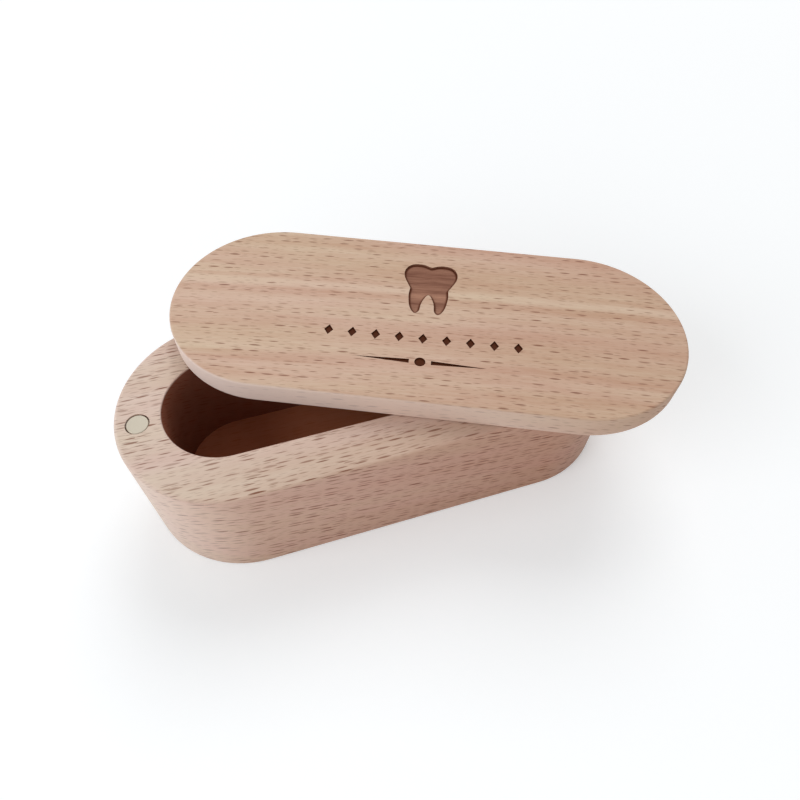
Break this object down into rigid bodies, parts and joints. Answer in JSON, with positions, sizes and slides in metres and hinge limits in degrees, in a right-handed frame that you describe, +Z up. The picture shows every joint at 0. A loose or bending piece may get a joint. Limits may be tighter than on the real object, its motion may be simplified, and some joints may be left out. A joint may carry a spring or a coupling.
{
  "type": "baby tooth box",
  "caption": "Small wooden keepsake box with round ends for baby teeth: a milled block with a long pocket and a loose flat lid, engraved with a tooth, that magnets hold shut.",
  "frame": {"origin": "centre of the box's flat underside", "axes": "+X along the box, towards the end that the lid juts past; +Y across the box, towards its back; +Z up, so that the underside faces -Z"},
  "size_m": [0.1057, 0.064, 0.0321],
  "materials": {
    "beech_box": "fine sanded, unvarnished steamed beech",
    "beech_lid": "fine sanded, unvarnished steamed beech, laser engraved",
    "magnet": "satin nickel plate"
  },
  "bodies": {
    "box": {"box_body": "beech_box", "body_magnet_left": "magnet"},
    "pivot_magnet": {"body_magnet_right": "magnet"},
    "lid": {"lid": "beech_lid", "lid_magnet_left": "magnet", "lid_magnet_right": "magnet"}
  },
  "joints": [
    {"name": "lid_swivel", "type": "hinge", "parent": "box", "child": "pivot_magnet", "pos_m": [0.0449, 0, 0.02705], "axis": [0, 0, 1], "range_deg": [-155.6, 24.4]},
    {"name": "lid_slide", "type": "slide", "parent": "pivot_magnet", "child": "lid", "axis": [-0.4262, 0.9046, 0], "range_m": [-0.01, 0.01476]}
  ]
}
